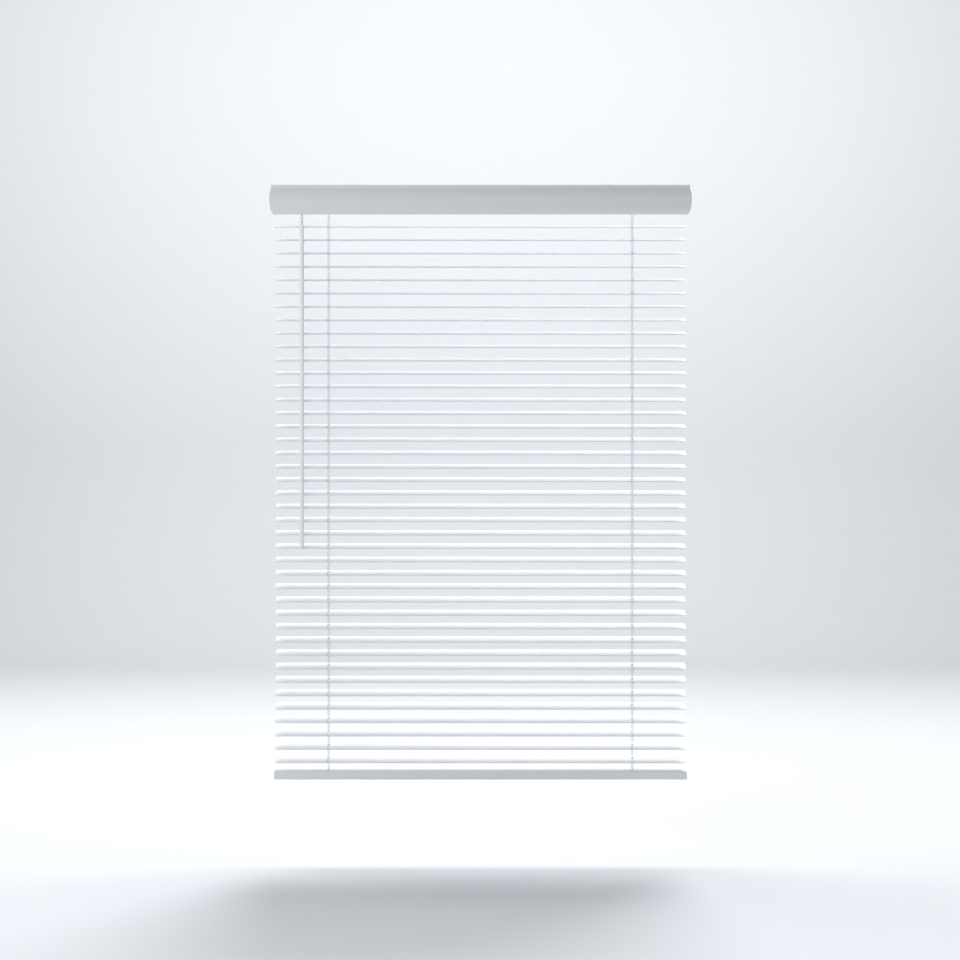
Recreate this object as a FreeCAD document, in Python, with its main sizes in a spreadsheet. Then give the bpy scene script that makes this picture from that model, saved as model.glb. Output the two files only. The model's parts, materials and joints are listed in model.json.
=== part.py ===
import FreeCAD, Part
import os

import Sketcher

# Venetian blind with tilting slats: millimetres, +X along the width, -Y to the room, +Z up.
# The origin is the middle of the four screws that hold the brackets, on the brackets' top face.

SIZES = {
    # clearances: how far a cutting shape passes the face it cuts, a seated piece's gap, play at a side
    "cut_past": 1,
    "seat_gap": 0.2,
    "side_play": 1,
    "running_fit": 0.1,
    # slats
    "slat_count": 41,
    "slat_length": 1298,
    "slat_width": 50,
    "slat_thickness": 2.8,
    "slat_crown": 2,
    "slat_pitch": 42.25,
    "first_slat_drop": 121.5,
    "rest_tilt": 15,
    "route_length": 20,
    "route_width": 6,
    # ladders and lift cords
    "ladder_spacing": 962,
    "ladder_reach": 27,
    "ladder_cord": 1.2,
    "ladder_tail": 8,
    "ladder_turn": 20,
    "lift_cord": 1.2,
    "lift_cord_drop": 47.4,
    "lift_cord_bend": 4.6,
    "cord_clearance": 1,
    # headrail
    "headrail_length": 1300,
    "headrail_width": 61,
    "headrail_height": 51,
    "headrail_wall": 0.8,
    "headrail_lip": 5,
    "headrail_drop": 3.5,
    # brackets and doors
    "bracket_depth": 35,
    "bracket_sheet": 1.2,
    "bracket_gap": 0.3,
    "end_gap": 0.8,
    "screw_hole": 5,
    "screw_spacing_x": 1262,
    "screw_spacing_y": 30,
    "door_gap": 0.4,
    "door_lip": 5,
    "door_tab": 4,
    # valance
    "valance_length": 1322,
    "valance_height": 91,
    "valance_drop": 3.5,
    "valance_wall": 3.5,
    "valance_front": 63,
    "valance_bow": 6,
    "valance_curl": 13,
    "valance_bead": 11,
    "valance_step": 0.8,
    "valance_return": 26,
    # valance face: drops of its fullest line and of its turn, and how deep it lies there and between
    "valance_full": 43.7,
    "valance_turn": 79,
    "valance_turn_depth": 4.5,
    "valance_upper_depth": 1.2,
    "valance_lower_depth": 0.9,
    "valance_lower_fall": 3,
    "valance_curl_depth": 7.6,
    "valance_curl_fall": 0.7,
    "valance_turn_angle": 17,
    "valance_curl_angle": 35,
    "valance_edge_angle": 56,
    # valance clips
    "clip_width": 20,
    "clip_sheet": 1.5,
    "clip_spacing": 400,
    "clip_hook": 6,
    "clip_bead_gap": 1,
    # tilt mechanism
    "rod_drop": 31,
    "rod_side": 6.35,
    "rod_overhang": 20,
    "rocker_hub": 12,
    "rocker_gap": 14,
    "rocker_plate": 2,
    "rocker_bar": 5,
    "rocker_boss": 4.4,
    "rocker_pin": 2,
    "cradle_plate": 3,
    "cradle_length": 32,
    "cradle_width": 22,
    "cradle_crest": 2.5,
    "cradle_base": 2,
    "guide_width": 3,
    # tilter
    "wand_place": 562,
    "wand_front": 36,
    "wheel_teeth": 12,
    "wheel_pitch_radius": 11,
    "wheel_addendum": 1.5,
    "wheel_dedendum": 2,
    "wheel_face": 5,
    "tooth_root": 2.6,
    "tooth_tip": 1,
    "tooth_sink": 0.4,
    "worm_pitch_radius": 5,
    "worm_lead": 5.76,
    "worm_outer_radius": 6.6,
    "thread_root": 2.6,
    "thread_tip": 1.2,
    "thread_start": 2.25,
    "thread_turns": 3.75,
    "stem_diameter": 6,
    "stem_room": 2,
    "stem_end": 5,
    "eye_drop": 100.4,
    "eye_hole": 4,
    "eye_plate": 2,
    "eye_rim": 1.5,
    "eye_foot": 2.8,
    "eye_root": 7,
    "housing_wall": 1.6,
    "housing_end_wall": 3,
    "housing_floor": 6,
    "housing_length": 26,
    "wheel_room": 1,
    "stem_bore_start": 60,
    "stem_bore_stop": 2,
    # wand
    "ring_radius": 4.6,
    "wire": 1.8,
    "wand_pivot_drop": 116,
    "pivot_bar": 2.4,
    "pivot_bar_length": 7,
    "wand_ball": 9,
    "gap_play": 0.4,
    "wand_neck": 7,
    "wand_diameter": 13,
    "wand_shoulder": 7,
    "wand_bevel": 3,
    "wand_length": 1026,
    # bottom rail
    "rail_top_drop": 1845,
    "rail_width": 50,
    "rail_height": 28,
    "rail_wall": 1.8,
    "rail_corner": 5,
    "rail_cord_inset": 4,
    "lift_hole": 4,
    "ladder_hole": 3,
    "lift_cord_tail": 18,
    # lift unit
    "lift_unit_length": 120,
    "lift_unit_width": 40,
    "lift_unit_height": 34,
    "lift_unit_bore": 11,
    "mouth_depth": 10,
    "cord_entry": 8,
}

doc = FreeCAD.newDocument("VenetianBlind")
sheet = doc.addObject("Spreadsheet::Sheet", "Sizes")
for row, (alias, size) in enumerate(SIZES.items(), start=1):
    sheet.set(f"A{row}", alias)
    sheet.set(f"B{row}", str(size))
    sheet.setAlias(f"B{row}", alias)
doc.recompute()

X_AXIS = FreeCAD.Vector(1, 0, 0)
Y_AXIS = FreeCAD.Vector(0, 1, 0)
Z_AXIS = FreeCAD.Vector(0, 0, 1)


def size(expression):
    """The number that a spreadsheet expression stands for."""
    value = sheet.evalExpression(expression)
    return float(getattr(value, "Value", value))


def bind(item, **formulas):
    """Bind an object's properties to formulas; a double underscore stands for a dot."""
    for name, formula in formulas.items():
        item.setExpression(name.replace("__", "."), formula)
    return item


def span(one, other):
    """Two formulas, the lower one first."""
    return sorted((one, other), key=size)


def place(item, spot=("0", "0", "0"), axis=Z_AXIS, angle=None):
    """Put an object at a spot given as formulas, turned about an axis by a formula's angle."""
    first_turn = 1 if angle else 0
    item.Placement = FreeCAD.Placement(FreeCAD.Vector(), FreeCAD.Rotation(axis, first_turn))
    for letter, formula in zip("xyz", spot):
        item.setExpression(f"Placement.Base.{letter}", formula)
    if angle:
        item.setExpression("Placement.Rotation.Angle", angle)
    return item


# Part primitives and booleans


def box(name, x, y, z):
    """A box from three pairs of formulas: its low and high end along each axis."""
    item = doc.addObject("Part::Box", name)
    for side, (low, high) in zip(("Length", "Width", "Height"), (x, y, z)):
        item.setExpression(side, f"({high}) - ({low})")
    return place(item, (x[0], y[0], z[0]))


def rod(name, radius, length, spot, axis=Z_AXIS, angle=None):
    """A cylinder that starts at a spot and runs along Z, or as turned."""
    item = bind(doc.addObject("Part::Cylinder", name), Radius=radius, Height=length)
    return place(item, spot, axis, angle)


def rod_x(name, radius, length, middle):
    """A cylinder along X, centred on a spot."""
    start = (f"{middle[0]} - ({length}) / 2", middle[1], middle[2])
    return rod(name, radius, length, start, Y_AXIS, "90")


def rod_y(name, radius, length, middle):
    """A cylinder along Y, centred on a spot."""
    start = (middle[0], f"{middle[1]} + ({length}) / 2", middle[2])
    return rod(name, radius, length, start, X_AXIS, "90")


def ring(name, radius, wire_radius, spot, axis=Z_AXIS, angle=None):
    """A ring of wire, lying in the XY plane until it is turned."""
    item = bind(doc.addObject("Part::Torus", name), Radius1=radius, Radius2=wire_radius)
    return place(item, spot, axis, angle)


def joined(name, pieces):
    """One solid made from overlapping pieces."""
    item = doc.addObject("Part::MultiFuse", name)
    item.Shapes = pieces
    item.Refine = True
    return item


def cut(name, base, tools):
    """A solid with tools taken out of it."""
    tool = tools[0]
    if len(tools) > 1:
        tool = doc.addObject("Part::MultiFuse", f"{name}Tools")
        tool.Shapes = tools
    item = doc.addObject("Part::Cut", name)
    item.Base = base
    item.Tool = tool
    return item


def group(name, pieces):
    """Identical pieces kept as separate solids under one name."""
    item = doc.addObject("Part::Compound", name)
    item.Links = pieces
    return item


# PartDesign bodies


def new_body(name):
    return doc.addObject("PartDesign::Body", name)


def sketch_on(body, name, plane, offset=None):
    """An empty sketch on one of the body's own planes, moved along its normal by a formula."""
    sketch = body.newObject("Sketcher::SketchObject", name)
    origin_plane = next(f for f in body.Origin.OriginFeatures if f.Role == plane)
    sketch.AttachmentSupport = [(origin_plane, "")]
    sketch.MapMode = "FlatFace"
    if offset:
        sketch.setExpression("AttachmentOffset.Base.z", offset)
    return sketch


def pin_point(sketch, line, end, spot):
    """Hold a line's end at a spot given as formulas, from the sketch's origin."""
    for kind, formula in zip(("DistanceX", "DistanceY"), spot):
        at = sketch.addConstraint(Sketcher.Constraint(kind, -1, 1, line, end, size(formula)))
        sketch.setExpression(f"Constraints[{at}]", formula)


def outline(sketch, points, closed=True):
    """Draw straight lines or arcs through points given as formulas.

    A point is (across, up) or (across, up, bulge): bulge is a third point, as formulas, that
    the arc from this point to the next goes through.
    """
    count = len(points) if closed else len(points) - 1
    first = sketch.GeometryCount
    for i in range(count):
        start, end = points[i], points[(i + 1) % len(points)]
        a = FreeCAD.Vector(size(start[0]), size(start[1]), 0)
        b = FreeCAD.Vector(size(end[0]), size(end[1]), 0)
        if len(start) == 2:
            sketch.addGeometry(Part.LineSegment(a, b), False)
        else:
            middle = FreeCAD.Vector(size(start[2][0]), size(start[2][1]), 0)
            sketch.addGeometry(Part.Arc(a, middle, b), False)
    ends = [line_ends(sketch, first + i, points[i]) for i in range(count)]
    for i in range(count):
        pin_point(sketch, first + i, ends[i][0], points[i][:2])
        if closed or i < count - 1:
            after = (i + 1) % count
            link = ("Coincident", first + i, ends[i][1], first + after, ends[after][0])
            sketch.addConstraint(Sketcher.Constraint(*link))
        else:
            pin_point(sketch, first + i, ends[i][1], points[-1][:2])
        if len(points[i]) > 2:
            hold_arc(sketch, first + i, points[i][2])


def line_ends(sketch, line, point):
    """Which of a line's two ends (1 or 2) is its start on the outline, and which its end."""
    start = FreeCAD.Vector(size(point[0]), size(point[1]), 0)
    near = sketch.getPoint(line, 1).distanceToPoint(start)
    far = sketch.getPoint(line, 2).distanceToPoint(start)
    return (1, 2) if near <= far else (2, 1)


def hold_arc(sketch, arc, through):
    """Make an arc pass through a point given as formulas."""
    spot = FreeCAD.Vector(size(through[0]), size(through[1]), 0)
    mark = sketch.addGeometry(Part.Point(spot), True)
    pin_point(sketch, mark, 1, through)
    sketch.addConstraint(Sketcher.Constraint("PointOnObject", mark, 1, arc))


def rectangle(sketch, across, up):
    """A rectangle from two pairs of formulas."""
    corners = [(across[0], up[0]), (across[1], up[0]), (across[1], up[1]), (across[0], up[1])]
    outline(sketch, corners)


def circle(sketch, middle, radius):
    """A circle with its centre and radius given as formulas."""
    centre = FreeCAD.Vector(size(middle[0]), size(middle[1]), 0)
    ring_at = sketch.addGeometry(Part.Circle(centre, Z_AXIS, size(radius)), False)
    pin_point(sketch, ring_at, 3, middle)
    at = sketch.addConstraint(Sketcher.Constraint("Radius", ring_at, size(radius)))
    sketch.setExpression(f"Constraints[{at}]", radius)


def slot(sketch, middle, length, width):
    """A slot with round ends whose length runs up the sketch."""
    x, y = middle
    reach = f"({length}) / 2 - ({width}) / 2"
    half = f"({width}) / 2"
    outline(
        sketch,
        [
            (f"{x} - {half}", f"{y} - ({reach})", (x, f"{y} - ({length}) / 2")),
            (f"{x} + {half}", f"{y} - ({reach})"),
            (f"{x} + {half}", f"{y} + {reach}", (x, f"{y} + ({length}) / 2")),
            (f"{x} - {half}", f"{y} + {reach}"),
        ],
    )


def pad(body, sketch, length, symmetric=True):
    item = body.newObject("PartDesign::Pad", f"{sketch.Name}Pad")
    item.Profile = sketch
    item.SideType = "Symmetric" if symmetric else "One side"
    return bind(item, Length=length)


def pocket(body, sketch, length, symmetric=True):
    item = body.newObject("PartDesign::Pocket", f"{sketch.Name}Pocket")
    item.Profile = sketch
    item.SideType = "Symmetric" if symmetric else "One side"
    return bind(item, Length=length)


def revolve(body, sketch):
    item = body.newObject("PartDesign::Revolution", f"{sketch.Name}Revolution")
    item.Profile = sketch
    item.ReferenceAxis = (sketch, ["V_Axis"])
    item.Angle = 360
    return item


def polar_pattern(body, feature, count):
    item = body.newObject("PartDesign::PolarPattern", f"{feature.Name}Pattern")
    item.Originals = [feature]
    turn_axis = next(f for f in body.Origin.OriginFeatures if f.Role == "X_Axis")
    item.Axis = (turn_axis, [""])
    item.Angle = 360
    bind(item, Occurrences=count)
    body.Tip = item
    return item


def names(text):
    """Turn {size} in a formula into the spreadsheet's cell."""
    for alias in sorted(SIZES, key=len, reverse=True):
        text = text.replace("{" + alias + "}", f"Sizes.{alias}")
    return text


# Formulas that several pieces share

LADDER_X = names("{ladder_spacing} / 2")
ROD_Z = names("-{rod_drop}")
RAIL_TOP = names("-{rail_top_drop}")
RAIL_AXIS = names("-{rail_top_drop} - {rail_height} / 2")
INNER_FLOOR = names("-{headrail_drop} - {headrail_height} + {headrail_wall}")
OUTER_FLOOR = names("-{headrail_drop} - {headrail_height}")
BRACKET_END = names("{headrail_length} / 2 + {end_gap} + {bracket_sheet}")
BRACKET_IN = names("{headrail_width} / 2 + {bracket_gap}")
CHORD_TILT = names("{rest_tilt} * 1 deg")
PAST = names("{cut_past}")
ROCKER_HALF = names("({rocker_gap} / 2 + {rocker_plate} + {side_play})")
WAND_X = names("-{wand_place}")
WAND_Y = names("-{wand_front}")
CENTRE_DISTANCE = names("({wheel_pitch_radius} + {worm_pitch_radius})")
EYE_FALL = names("({eye_drop} - {rod_drop})")
EYE_REACH = names("sqrt({wand_front}^2 + ") + EYE_FALL + "^2)"
LEAN = names("(atan({wand_front} / ") + f"{EYE_FALL}) - asin({CENTRE_DISTANCE} / {EYE_REACH}))"
STEM_LENGTH = f"sqrt({EYE_REACH}^2 - {CENTRE_DISTANCE}^2)"
WORM_Y = f"-{CENTRE_DISTANCE} * cos({LEAN})"
WORM_Z = f"{ROD_Z} + {CENTRE_DISTANCE} * sin({LEAN})"


def make_master_slat():
    """The crowned slat that the others copy: its middle is the top of the crown, on the origin."""
    body = new_body("MasterSlat")
    half = names("{slat_width} / 2")
    thick = names("{slat_thickness} / 2")
    crown = names("{slat_crown}")
    profile = sketch_on(body, "SlatProfile", "YZ_Plane")
    outline(
        profile,
        [
            (f"-({half} - {thick})", f"-{crown} - {thick}", ("0", f"-{thick}")),
            (f"{half} - {thick}", f"-{crown} - {thick}", (half, f"-{crown}")),
            (f"{half} - {thick}", f"-{crown} + {thick}", ("0", thick)),
            (f"-({half} - {thick})", f"-{crown} + {thick}", (f"-{half}", f"-{crown}")),
        ],
    )
    pad(body, profile, names("{slat_length}"))
    routes = sketch_on(body, "SlatRoutes", "XY_Plane")
    for side in ("", "-"):
        slot(routes, (f"{side}{LADDER_X}", "0"), names("{route_length}"), names("{route_width}"))
    pocket(body, routes, names("{slat_thickness} * 4"))
    return body


def make_slats(master):
    """The slats, evenly spaced down the ladders and all tilted alike."""
    slats = []
    for number in range(1, int(size(names("{slat_count}"))) + 1):
        body = new_body(f"slat_{number:02d}")
        copy = doc.addObject("PartDesign::FeatureBase", f"SlatCopy{number:02d}")
        copy.BaseFeature = master
        body.Group = [copy]
        body.Tip = copy
        drop = names(f"-{{first_slat_drop}} - {number - 1} * {{slat_pitch}}")
        place(body, ("0", "0", drop), X_AXIS, CHORD_TILT)
        slats.append(body)
    return slats


def make_headrail():
    """A folded channel, open at the top, with two inward lips."""
    body = new_body("headrail")
    outer = names("{headrail_width} / 2")
    inner = names("{headrail_width} / 2 - {headrail_wall}")
    lip = names("{headrail_width} / 2 - {headrail_lip}")
    top = names("-{headrail_drop}")
    under_lip = names("-{headrail_drop} - {headrail_wall}")
    profile = sketch_on(body, "HeadrailProfile", "YZ_Plane")
    right = [(outer, OUTER_FLOOR), (outer, top), (lip, top), (lip, under_lip), (inner, under_lip)]
    right.append((inner, INNER_FLOOR))
    left = [(f"-({across})", up) for across, up in reversed(right)]
    outline(profile, right + left)
    pad(body, profile, names("{headrail_length}"))
    floor = sketch_on(body, "HeadrailFloorHoles", "XY_Plane", OUTER_FLOOR)
    reach = names("{ladder_reach} + {ladder_cord}")
    for side in ("", "-"):
        middle = f"{side}{LADDER_X}"
        rectangle(floor, (f"{middle} - {ROCKER_HALF}", f"{middle} + {ROCKER_HALF}"), (f"-({reach})", reach))
    stem_y = f"({WAND_Y} + ({OUTER_FLOOR} + " + names("{eye_drop}") + f") * tan({LEAN}))"
    half = names("({stem_diameter} / 2 + {stem_room})")
    across = (f"{WAND_X} - {half}", f"{WAND_X} + {half}")
    rectangle(floor, across, (f"{stem_y} - {half}", f"{stem_y} + {half}"))
    pocket(body, floor, names("{headrail_wall} * 4"))
    return body


def make_brackets():
    """Two box brackets around the headrail's ends, open at the front for their doors."""
    sheet_size, depth, lip = (names(f"{{{n}}}") for n in ("bracket_sheet", "bracket_depth", "door_lip"))
    front = names(f"-({BRACKET_IN}) - {{door_gap}} * 2 - {{bracket_sheet}} * 2")
    front_inside = f"{front} + {sheet_size}"
    floor = f"{OUTER_FLOOR} - {names('{bracket_gap}')}"
    roof = f"-{sheet_size}"
    below = f"{OUTER_FLOOR} * 2"
    pieces = []
    for label, side in (("Left", -1), ("Right", 1)):
        end = f"{side} * ({BRACKET_END})"
        end_inside = f"{side} * ({BRACKET_END} - {sheet_size})"
        mouth = f"{side} * ({BRACKET_END} - {depth})"
        past_mouth = f"{side} * ({BRACKET_END} - {depth} - {PAST})"
        shell = box(f"{label}BracketBlock", span(end, mouth), (front, f"{BRACKET_IN} + {sheet_size}"),
                    (f"{floor} - {sheet_size}", "0"))
        room = box(f"{label}BracketRoom", span(end_inside, past_mouth), (front_inside, BRACKET_IN),
                   (floor, roof))
        window = box(f"{label}BracketFront", span(f"{side} * ({BRACKET_END} - {lip})", past_mouth),
                     (f"{front} - {PAST}", f"{front_inside} + {PAST}"), (below, roof))
        chute = box(f"{label}DoorChute", span(end_inside, past_mouth), (front_inside, f"-({BRACKET_IN})"),
                    (below, roof))
        tools = [room, window, chute]
        screw_x = names(f"{side} * {{screw_spacing_x}} / 2")
        for row in (-1, 1):
            spot = (screw_x, names(f"{row} * {{screw_spacing_y}} / 2"), f"{roof} * 2")
            hole = rod(f"{label}ScrewHole{row + 1}", names("{screw_hole} / 2"), f"{sheet_size} * 3", spot)
            tools.append(hole)
        pieces.append(cut(f"{label}Bracket", shell, tools))
    return group("mounting_brackets", pieces)


def make_door(name, side):
    """A sliding door that closes a bracket's front, with a finger tab bent out along its foot."""
    body = new_body(name)
    sheet_size, gap, reach = (names(f"{{{n}}}") for n in ("bracket_sheet", "door_gap", "door_tab"))
    high = f"{BRACKET_END} - {sheet_size} - {gap}"
    low = f"{BRACKET_END} - {names('{bracket_depth}')}"
    back = f"-({BRACKET_IN}) - {gap}"
    front = f"{back} - {sheet_size}"
    top = f"-{sheet_size} - {gap}"
    tab = f"{OUTER_FLOOR} - {names('{bracket_gap}')} - {sheet_size} - {reach}"
    profile = sketch_on(body, f"{name}_profile", "YZ_Plane", f"{side} * ({low} + {high}) / 2")
    points = [(back, top), (front, top), (front, tab), (f"{front} - {reach}", tab)]
    points += [(f"{front} - {reach}", f"{tab} - {sheet_size}"), (back, f"{tab} - {sheet_size}")]
    outline(profile, points)
    pad(body, profile, f"({high}) - ({low})")
    return body


def make_valance():
    """A bowed face with a bead along its top and a curled lower edge, mitred into short returns."""
    body = new_body("valance")
    wall = names("{valance_wall}")
    front = names("{valance_front}")
    back = names("-{valance_front} + {valance_return}")
    half = names("{valance_length} / 2")
    run = sketch_on(body, "ValanceRun", "XY_Plane")
    corners = [(f"-({half})", back), (f"-({half})", f"-{front}"), (half, f"-{front}"), (half, back)]
    outline(run, corners, closed=False)
    profile = sketch_on(body, "ValanceProfile", "XZ_Plane", f"-({back})")
    top, bottom, bead, full, turn = (names(f"-{{valance_drop}} - {drop}") for drop in (
        "0", "{valance_height}", "{valance_bead}", "{valance_full}", "{valance_turn}"))
    bow, step, curl = (names(f"{{valance_{part}}}") for part in ("bow", "step", "curl"))
    upper = (names("{valance_upper_depth}"), f"({bead} + {full}) / 2")
    lower = (names("{valance_lower_depth}"), f"({full} + {turn}) / 2 + " + names("{valance_lower_fall}"))
    bend = (names("{valance_curl_depth}"), f"({turn} + {bottom}) / 2 - " + names("{valance_curl_fall}"))

    def skin(depth, height, angle=None):
        """A point of the face, or of its back where an angle says which way the wall's thickness goes."""
        if angle is None:
            return (f"-({half}) + {depth}", height)
        lean = names(f"{{valance_{angle}_angle}}") if angle else "0"
        return (f"-({half}) + {depth} + {wall} * cos({lean})", f"{height} + {wall} * sin({lean})")

    turn_depth = names("{valance_turn_depth}")
    outline(
        profile,
        [
            skin(f"{bow} - {step}", top),
            skin(f"{bow} - {step}", bead),
            (*skin(bow, bead), skin(*upper)),
            (*skin("0", full), skin(*lower)),
            (*skin(turn_depth, turn), skin(*bend)),
            skin(curl, bottom),
            (*skin(curl, bottom, "edge"), skin(*bend, "curl")),
            (*skin(turn_depth, turn, "turn"), skin(*lower, "")),
            (*skin("0", full, ""), skin(*upper, "")),
            skin(bow, bead, ""),
            skin(bow, top, ""),
        ],
    )
    pipe = body.newObject("PartDesign::AdditivePipe", "ValancePipe")
    pipe.Profile = profile
    pipe.Spine = (run, ["Edge1", "Edge2", "Edge3"])
    pipe.Transition = "Right corner"
    body.Tip = pipe
    return body


def make_valance_clips():
    """Three clips that hook over the headrail's front lip and hold the valance's back."""
    clips = []
    thick, reach = names("{clip_sheet}"), names("{clip_hook}")
    seat = names("-{headrail_drop}")
    hook = names("-{headrail_width} / 2 + {headrail_lip} + {seat_gap}")
    back = names("-{valance_front} + {valance_bow} + {valance_wall}")
    foot = names("-{valance_drop} - {valance_bead} + {clip_bead_gap}")
    points = [(f"{hook} + {thick}", f"{seat} + {thick}"), (f"{hook} + {thick}", f"{seat} - {reach}")]
    points += [(hook, f"{seat} - {reach}"), (hook, seat), (f"{back} + {thick}", seat)]
    points += [(f"{back} + {thick}", foot), (back, foot), (back, f"{seat} + {thick}")]
    for label, side in (("Left", -1), ("Middle", 0), ("Right", 1)):
        body = new_body(f"{label}Clip")
        profile = sketch_on(body, f"{label}ClipProfile", "YZ_Plane", names(f"{side} * {{clip_spacing}}"))
        outline(profile, points)
        pad(body, profile, names("{clip_width}"))
        clips.append(body)
    return group("valance_clips", clips)


def square_bar(name, ends):
    """A bar of the tilt rod's section along X; it stands square to the headrail at rest."""
    half = names("{rod_side} / 2")
    return box(name, ends, (f"-{half}", half), (f"{ROD_Z} - {half}", f"{ROD_Z} + {half}"))


def make_tilt_rod():
    """A square rod from the tilter to the far ladder."""
    ends = (names("-{wand_place} - {rod_overhang}"), f"{LADDER_X} + {names('{rod_overhang}')}")
    return square_bar("tilt_rod", ends)


def make_rocker_bar(name, middle):
    """One bar of a rocker, turned with the slats about the rod's axis."""
    plate, reach, tall = (names(f"{{{n}}}") for n in ("rocker_plate", "ladder_reach", "rocker_bar"))
    bar = bind(doc.addObject("Part::Box", name), Length=plate, Width=f"{reach} * 2", Height=tall)
    across = f"({reach} * cos({CHORD_TILT}) - {tall} / 2 * sin({CHORD_TILT}))"
    up = f"({reach} * sin({CHORD_TILT}) + {tall} / 2 * cos({CHORD_TILT}))"
    return place(bar, (f"{middle} - {plate} / 2", f"-{across}", f"{ROD_Z} - {up}"), X_AXIS, CHORD_TILT)


def make_rockers():
    """A rocker on the rod above each ladder: two bars on a hub, with a pin at each end."""
    pieces = []
    hub_length = names("({rocker_gap} + {rocker_plate} * 2 + {cradle_plate} * 2 + {side_play} * 4)")
    between = names("({rocker_gap} / 2 + {rocker_plate} / 2)")
    plate, reach = names("{rocker_plate}"), names("{ladder_reach}")
    for label, side in (("Left", "-"), ("Right", "")):
        middle = f"{side}{LADDER_X}"
        blanks = [rod_x(f"{label}RockerHub", names("{rocker_hub} / 2"), hub_length, (middle, "0", ROD_Z))]
        for row in (-1, 1):
            end = (f"{row} * {reach} * cos({CHORD_TILT})", f"{ROD_Z} + {row} * {reach} * sin({CHORD_TILT})")
            blanks.append(make_rocker_bar(f"{label}RockerBar{row + 1}", f"{middle} + {row} * {between}"))
            blanks.append(rod_x(f"{label}RockerPin{row + 1}", names("{rocker_pin} / 2"),
                                names("{rocker_gap} + {rocker_plate} * 2"), (middle, *end)))
            for bar in (-1, 1):
                boss = (f"{middle} + {bar} * {between}", *end)
                boss_name = f"{label}RockerBoss{row + 1}{bar + 1}"
                blanks.append(rod_x(boss_name, names("{rocker_boss} / 2"), plate, boss))
        bore = square_bar(f"{label}RockerBore", (f"{middle} - {hub_length}", f"{middle} + {hub_length}"))
        pieces.append(cut(f"{label}Rocker", joined(f"{label}RockerBlank", blanks), [bore]))
    return group("tilt_rockers", pieces)


def make_cradles():
    """A cradle under each rocker: a base on the headrail's floor and two uprights with bores."""
    pieces = []
    half, plate, wide = names("{cradle_length} / 2"), names("{cradle_plate}"), names("({cradle_width} / 2)")
    base_y = names("{headrail_width} / 2 - {headrail_wall} - {seat_gap}")
    floor_top = f"{INNER_FLOOR} + {names('{cradle_base}')}"
    crest = f"{ROD_Z} + " + names("{rocker_hub} / 2 + {cradle_crest}")
    well = names("{ladder_reach} + {ladder_cord}")
    bend, cord_z = names("{lift_cord_bend}"), names("-{lift_cord_drop}")
    guide_radius = names("({lift_cord_bend} - {lift_cord} / 2 - {running_fit} / 2)")
    guide_half = names("({guide_width} / 2)")
    for label, side in (("Left", -1), ("Right", 1)):
        middle = f"{side} * {LADDER_X}"
        base = box(f"{label}CradleBase", (f"{middle} - {half}", f"{middle} + {half}"),
                   (f"-({base_y})", base_y), (INNER_FLOOR, floor_top))
        blanks = [base]
        for row in (-1, 1):
            across = span(f"{middle} + {row} * {ROCKER_HALF}", f"{middle} + {row} * ({ROCKER_HALF} + {plate})")
            blanks.append(box(f"{label}CradleUpright{row + 1}", across, (f"-{wide}", wide), (floor_top, crest)))
        bore = rod_x(f"{label}CradleBore", names("{rocker_hub} / 2 + {running_fit} / 2"),
                     names("{cradle_length} * 2"), (middle, "0", ROD_Z))
        opening = box(f"{label}CradleWell", (f"{middle} - {ROCKER_HALF}", f"{middle} + {ROCKER_HALF}"),
                      (f"-({well})", well), (f"{INNER_FLOOR} - {PAST}", f"{floor_top} + {PAST}"))
        window = rod_x(f"{label}CordWindow", names("{lift_cord} / 2 + {cord_clearance}"), f"{plate} * 4",
                       (f"{middle} - {side} * ({ROCKER_HALF} + {plate})", "0", cord_z))
        blank = cut(f"{label}CradleBlank", joined(f"{label}CradleFused", blanks), [bore, opening, window])
        guide = (f"{middle} - {side} * {bend}", "0", f"{cord_z} - {bend}")
        nose = rod_y(f"{label}CordGuide", guide_radius, f"{guide_half} * 2", guide)
        web_x = span(guide[0], f"{middle} - {side} * ({ROCKER_HALF} + {plate} / 2)")
        web = box(f"{label}GuideWeb", web_x, (f"-{guide_half}", guide_half),
                  (INNER_FLOOR, f"{guide[2]} + {guide_radius} / 2"))
        pieces.append(joined(f"{label}Cradle", [blank, nose, web]))
    return group("rocker_cradles", pieces)


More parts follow.
